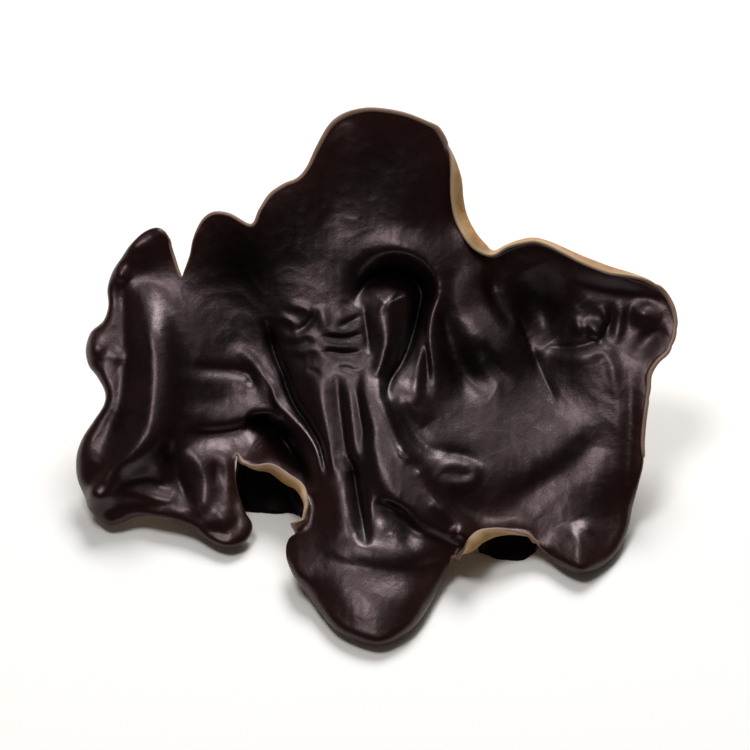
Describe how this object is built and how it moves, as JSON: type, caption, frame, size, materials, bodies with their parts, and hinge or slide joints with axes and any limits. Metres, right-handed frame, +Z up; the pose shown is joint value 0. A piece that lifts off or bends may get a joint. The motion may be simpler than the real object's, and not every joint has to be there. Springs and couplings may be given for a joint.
{
  "type": "dried wood ear mushroom",
  "caption": "Thin leathery dried wood ear: one irregular lobed leaf with folds, dark above and tan below, resting on its cut stub.",
  "frame": {"origin": "on the surface it rests on, midway between the leaf's outermost points in plan", "axes": "+X along the leaf's greatest width, +Y from its low front lobe to its raised back lobe, +Z up"},
  "size_m": [0.06, 0.0506, 0.0274],
  "materials": {
    "leaf": "satin dark brown upper side, matt tan-grey underside, thin reddish-tan rim"
  },
  "bodies": {
    "root": {"wood_ear": "leaf"}
  },
  "joints": []
}
